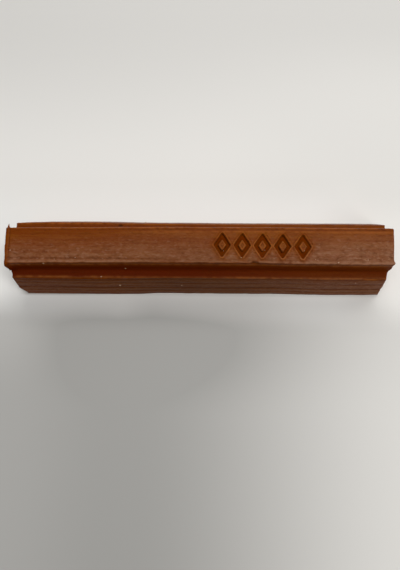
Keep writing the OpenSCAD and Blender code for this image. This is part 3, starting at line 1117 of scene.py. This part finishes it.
def wax_material(finish):
    """Hard wax: a red-brown body with drifts of pigment, with painted shade in the pressed strokes, the
    coves, creases, pits and on the front, and a thin scuffed film with painted sheen on the faces that
    hands and table touch, broken up by drag lines; edges, lips, proud spots and dashes carry painted
    highlights."""
    material, wiring, inputs = new_material("hard_wax")
    mix, times, ramp_of = wiring.mix, wiring.times, wiring.ramp
    place = wiring.place()
    pressed, shaded, scuff_and_sheen, raised, edge, front_shade = map(
        wiring.attribute, ("pressed", "shaded", "scuff_and_sheen", "raised", "edge", "front_shade")
    )
    lines = wiring.group("drag_lines", {"Vector": place, "Lines": 1500.0})
    grain = wiring.group(
        "fine_grain", {"Vector": wiring.along_x(place, 0.5), "Grain": 3400.0, "Pits": 420.0, "Pit Size": 0.16}
    )
    drifts = ramp_of(wiring.noise(wiring.along_x(place, 0.35), 210.0, 3.0), 0.38, 0.64)
    colour = mix(drifts, finish.body, finish.warm)
    # Painted shade in the coves and on the ledges
    colour = mix(shaded, colour, finish.deep)
    # Painted shade in the pressed strokes
    colour = mix(pressed, colour, finish.stroke)
    # Painted shade in the gaps between drag lines and in the pits
    gaps = times(wiring.minus(1.0, lines["Mask"]), 0.62)
    colour = mix(times(wiring.most(times(grain["Pits"], 0.5), gaps), 0.7), colour, finish.deep)
    # The scuffed film with its painted sheen, stronger on blotches and on the ridges of the drag lines
    blotches = ramp_of(wiring.noise(wiring.along_x(place, 0.6), 420.0, 4.0, 0.6), 0.34, 0.68)
    streaks = wiring.between(0.62, blotches, lines["Mask"])
    scuffed = times(wiring.between(streaks, 0.5, 1.0), scuff_and_sheen)
    colour = mix(scuffed, colour, finish.bloom_and_sheen)
    # Painted shade in hollows, painted highlights on proud spots, and short pale dashes as painted glints
    level = wiring.plus(raised, times(wiring.minus(grain["Height"], 0.5), 2.4))
    open_face = wiring.maths("SUBTRACT", 1.0, pressed, clamp=True)
    hollow = times(wiring.maths("MULTIPLY", level, -0.55, clamp=True), open_face)
    proud = times(wiring.maths("MULTIPLY", level, 0.9, clamp=True), scuff_and_sheen)
    dashes = ramp_of(wiring.noise(wiring.along_x(place, 0.4), 2300.0), 0.57, 0.68)
    colour = mix(hollow, colour, finish.crease_shade)
    colour = mix(times(dashes, 0.9, scuff_and_sheen), colour, finish.edge)
    colour = mix(proud, colour, finish.edge)
    # Painted highlights along edges and lips: orange where there is no sheen, pale where there is
    edge_highlight = mix(ramp_of(scuff_and_sheen, 0.1, 0.38), finish.rim, finish.edge)
    colour = mix(times(edge, 0.85), colour, edge_highlight)
    # Painted shade on the front
    colour = mix(times(front_shade, 0.27), colour, finish.front_shade)
    rough = wiring.between(scuffed, finish.gloss_roughness, finish.scuff_roughness)
    dull = wiring.most(wiring.most(pressed, shaded), edge)
    # The upright walls hardly mirror the table, which a flat view along them would show too strongly
    facing = wiring.node("ShaderNodeTexCoord").outputs["Normal"]
    upward = ramp_of(wiring.node("ShaderNodeSeparateXYZ", {0: facing}).outputs["Z"], 0.05, 0.25)
    mirror = times(wiring.between(upward, finish.upright_mirror, finish.flat_mirror), open_face)
    height = wiring.plus(times(lines["Height"], 0.8), times(grain["Height"], 0.75))
    values = {
        "Base Color": colour,
        "Roughness": wiring.between(dull, rough, finish.edge_roughness),
        "IOR": 1.44,
        "Specular IOR Level": mirror,
        "Subsurface Weight": finish.glow,
        "Subsurface Radius": (1.0, 0.3, 0.08),
        "Subsurface Scale": 0.6 * MM,
    }
    set_inputs(wiring, inputs, values, height, 1.0, 0.14 * MM)
    return material


def crumb_material(finish):
    """Scraped wax, painted pale as glints: the edge's highlight colour, paler where the grain is proud."""
    material, wiring, inputs = new_material("scraped_wax_glint")
    numbers = {"Grain": 9000.0, "Pits": 3000.0, "Pit Size": 0.2}
    height = wiring.group("fine_grain", {"Vector": wiring.place(), **numbers})["Height"]
    colour = wiring.mix(wiring.ramp(height, 0.35, 0.65), finish.edge, finish.crumb_glint)
    set_inputs(wiring, inputs, {"Base Color": colour, "Roughness": 0.55}, height, 0.5, 0.01 * MM)
    return material


def table_material(settings):
    """Pale matt table top, uneven in tone, with painted shade and light: a little darker behind the bar,
    a broad soft shade painted in front of it, lighter strips painted close to it and a thin dark band
    painted along its foot.

    Each of these is a product of smooth steps along X, along Y and of the distance from the middle, and
    mixes its own colour over what lies below.
    """
    material, wiring, inputs = new_material("table_top")
    mix, times, ramp_of, band = wiring.mix, wiring.times, wiring.ramp, wiring.band
    place = wiring.place()
    x, y, _ = wiring.node("ShaderNodeSeparateXYZ", {0: place}).outputs
    away = wiring.node("ShaderNodeVectorMath", {0: place}, operation="LENGTH").outputs["Value"]
    beside = ramp_of(away, 0.26, 0.12)

    def table_colour(share):
        return tuple(share * channel for channel in settings.table_colour)

    tone = ramp_of(wiring.noise(place, 9.0), 0.3, 0.7)
    colour = mix(tone, table_colour(1.0), table_colour(1.03))
    # Painted shade: darker behind the bar, and to the right behind it
    colour = mix(ramp_of(y, 0.015, 0.06), colour, table_colour(0.84))
    right_back = times(band(y, (0.006, 0.016), (0.058, 0.03)), ramp_of(x, -0.005, 0.04))
    colour = mix(times(right_back, beside), colour, table_colour(0.93))
    # Painted light: lighter strips in front on the left and on the right, and close behind the bar
    ends = wiring.most(ramp_of(x, -0.012, -0.036), band(x, (0.009, 0.024), (0.038, 0.029)))
    lit_front = times(band(y, (-0.018, -0.011), (0.0, -0.006)), ends)
    lit_back = times(band(y, (0.019, 0.009), (0.0, 0.004)), ramp_of(x, 0.04, 0.024), 0.75)
    colour = mix(wiring.most(lit_front, lit_back), colour, settings.table_lit)
    # The painted shade has a wavy edge, begins nearer to the bar along its middle and is deepest on the left
    cloud = wiring.minus(wiring.noise(place, 14.0, 1.0), 0.5)
    wavy_y = wiring.plus(y, times(cloud, 0.01))
    middle = band(x, (-0.019, -0.009), (0.026, 0.004))
    front = ramp_of(wiring.minus(wavy_y, times(middle, 0.0012)), -0.007, -0.016)
    close = ramp_of(wavy_y, -0.034, -0.016)
    lighter = times(ramp_of(x, -0.018, -0.046), wiring.between(close, 0.12, 0.4))
    depth = wiring.minus(wiring.between(ramp_of(x, 0.053, -0.014), 0.25, 1.0), lighter)
    shade = times(front, depth, beside, wiring.between(close, 1.0, 1.24))
    colour = mix(shade, colour, settings.table_shade)
    # Painted shadow: a thin dark band along the bar's foot
    contact = times(band(y, (-0.0089, -0.0082), (0.0, -0.004)), ramp_of(away, 0.042, 0.039))
    contact = times(contact, wiring.between(ramp_of(x, -0.03, -0.02), 1.15, 0.4), 0.4)
    colour = mix(contact, colour, settings.table_contact_shadow)
    numbers = {"Grain": 900.0, "Pits": 60.0, "Pit Size": 0.03}
    height = wiring.group("fine_grain", {"Vector": place, **numbers})["Height"]
    set_inputs(wiring, inputs, {"Base Color": colour, "Roughness": 0.6}, height, 0.15, 0.02 * MM)
    return material


# Stage

TABLE_HALF_SIDE = 2.0
# Share of the half side that is flat, and how steeply the rest turns up
TABLE_FLAT, TABLE_RISE = 0.7, 2.0
TABLE_PARTS = 40
# Lamps, as (name, place, the place it points at, size, colour)
LAMPS = (
    ("window", (0.12, 0.41, 0.59), (0.0, 0.0, 0.0), (0.5, 0.2), (1.0, 0.985, 0.96)),
    ("ceiling", (0.07, 0.02, 0.75), (0.07, 0.02, 0.0), (0.6, 0.08), (1.0, 1.0, 1.0)),
    ("side", (0.17, -0.12, 0.14), (0.02, 0.0, 0.0), (0.1, 0.1), (1.0, 0.96, 0.9)),
)
ROOM_COLOUR = (1.0, 0.99, 0.97)
BRIGHTEST_WAY = (0.25, 0.68, 0.69)


def table_top():
    """Table top: a square grid whose far rim turns up softly, as the fourth power of the distance."""
    steps = np.linspace(-1.0, 1.0, TABLE_PARTS + 1)
    u, v = np.meshgrid(steps, steps, indexing="ij")
    z = TABLE_RISE * np.clip(np.maximum(np.abs(u), np.abs(v)) - TABLE_FLAT, 0, None) ** 4
    points = np.stack([TABLE_HALF_SIDE * u, TABLE_HALF_SIDE * v, z], -1).reshape(-1, 3)
    quads = grid_faces(np.arange(len(points)).reshape(u.shape).T)
    return new_mesh_object("table_top", points, face_list([quads]))


def add_to_scene(name, data, place, turn):
    """Object of a lamp or camera, at its place and turn."""
    holder = bpy.data.objects.new(name, data)
    bpy.context.scene.collection.objects.link(holder)
    holder.location = place
    holder.rotation_euler = turn
    return holder


def area_lamp(name, place, aim, size, colour, power):
    """Rectangular lamp that points from its place at the aim."""
    lamp = bpy.data.lights.new(name, "AREA")
    lamp.shape = "RECTANGLE"
    lamp.size, lamp.size_y = size
    lamp.energy = power
    lamp.color = colour
    away = np.array(place) - np.array(aim)
    tilt = math.atan2(math.hypot(away[0], away[1]), away[2])
    add_to_scene(name, lamp, place, (tilt, 0.0, math.atan2(away[0], -away[1])))


def room_light(near, far, backdrop):
    """Light of a pale room that is brighter above and behind the bar than in front of it; the camera
    sees it as an even backdrop."""
    world = bpy.data.worlds.new("pale_room")
    world.use_nodes = True
    world.node_tree.nodes.clear()
    wiring = Wiring(world.node_tree)
    way = wiring.node("ShaderNodeTexCoord").outputs["Generated"]
    facing = wiring.node("ShaderNodeVectorMath", {0: way, 1: BRIGHTEST_WAY}, operation="DOT_PRODUCT")
    strength = wiring.between(wiring.ramp(facing.outputs["Value"], -0.5, 0.9), near, far)
    seen = wiring.node("ShaderNodeLightPath").outputs["Is Camera Ray"]
    strength = wiring.between(seen, strength, backdrop)
    background = wiring.node("ShaderNodeBackground", {"Color": ROOM_COLOUR, "Strength": strength})
    wiring.node("ShaderNodeOutputWorld", {"Surface": background.outputs[0]})
    bpy.context.scene.world = world


def place_camera(settings):
    """Camera at the photograph's viewing point; the lens follows from the focal length in pixels."""
    sensor = 36.0
    long_side = 570.0
    data = bpy.data.cameras.new("camera")
    data.sensor_width = sensor
    data.lens = settings.focal_pixels * sensor / long_side
    data.clip_start = 0.005
    data.clip_end = 20.0
    bpy.context.scene.camera = add_to_scene("camera", data, settings.camera_place, settings.camera_turn)


# Operators


class WAXSTICK_OT_wax_bar(Operator):
    """Build the stamped wax bar and its finish"""

    bl_idname = "waxstick.wax_bar"
    bl_label = "Wax bar"

    def execute(self, context):
        scene = context.scene
        piece = wax_bar_piece(scene.waxstick_shape, scene.waxstick_row)
        piece.data.materials.append(wax_material(scene.waxstick_finish))
        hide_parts(NODE)
        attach(piece, BODY)
        return {"FINISHED"}


class WAXSTICK_OT_crumbs(Operator):
    """Strew the grains of scraped wax on the bar"""

    bl_idname = "waxstick.crumbs"
    bl_label = "Wax crumbs"

    def execute(self, context):
        scene = context.scene
        piece = crumbs_piece(scene.waxstick_shape, scene.waxstick_row)
        piece.data.materials.append(crumb_material(scene.waxstick_finish))
        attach(piece, BODY)
        return {"FINISHED"}


class WAXSTICK_OT_stage(Operator):
    """Lay the table top and place the lamps and the camera"""

    bl_idname = "waxstick.stage"
    bl_label = "Table, lamps and camera"

    def execute(self, context):
        settings = context.scene.waxstick_studio
        table = table_top()
        table.data.materials.append(table_material(settings))
        powers = (settings.window_power, settings.ceiling_power, settings.side_power)
        for lamp, power in zip(LAMPS, powers):
            area_lamp(*lamp, power)
        room_light(settings.near_sky, settings.far_sky, settings.backdrop)
        place_camera(settings)
        context.scene.view_settings.view_transform = "Standard"
        return {"FINISHED"}


class WAXSTICK_PT_panel(Panel):
    """Sidebar panel with the pieces and their settings"""

    bl_label = "Wax stick"
    bl_idname = "WAXSTICK_PT_panel"
    bl_space_type = "VIEW_3D"
    bl_region_type = "UI"
    bl_category = "Wax stick"

    def draw(self, context):
        for operator in OPERATORS:
            self.layout.operator(operator.bl_idname)
        for name in SETTINGS:
            group = getattr(context.scene, name)
            box = self.layout.box()
            for key in group.bl_rna.properties.keys():
                if key not in ("rna_type", "name"):
                    box.prop(group, key)


SETTINGS = {
    "waxstick_shape": BarShape,
    "waxstick_row": PressedRow,
    "waxstick_finish": WaxFinish,
    "waxstick_studio": StudioSettings,
}
OPERATORS = (WAXSTICK_OT_wax_bar, WAXSTICK_OT_crumbs, WAXSTICK_OT_stage)
CLASSES = (*SETTINGS.values(), *OPERATORS, WAXSTICK_PT_panel)


def register():
    """Registers the classes and hangs the settings on the scene."""
    for each in CLASSES:
        bpy.utils.register_class(each)
    for name, group in SETTINGS.items():
        setattr(bpy.types.Scene, name, PointerProperty(type=group))


def unregister():
    """Takes back what register did."""
    for name in SETTINGS:
        delattr(bpy.types.Scene, name)
    for each in reversed(CLASSES):
        bpy.utils.unregister_class(each)


def main():
    """Builds the pieces and the stage."""
    register()
    bpy.ops.waxstick.wax_bar()
    bpy.ops.waxstick.crumbs()
    bpy.ops.waxstick.stage()


if __name__ == "__main__":
    main()
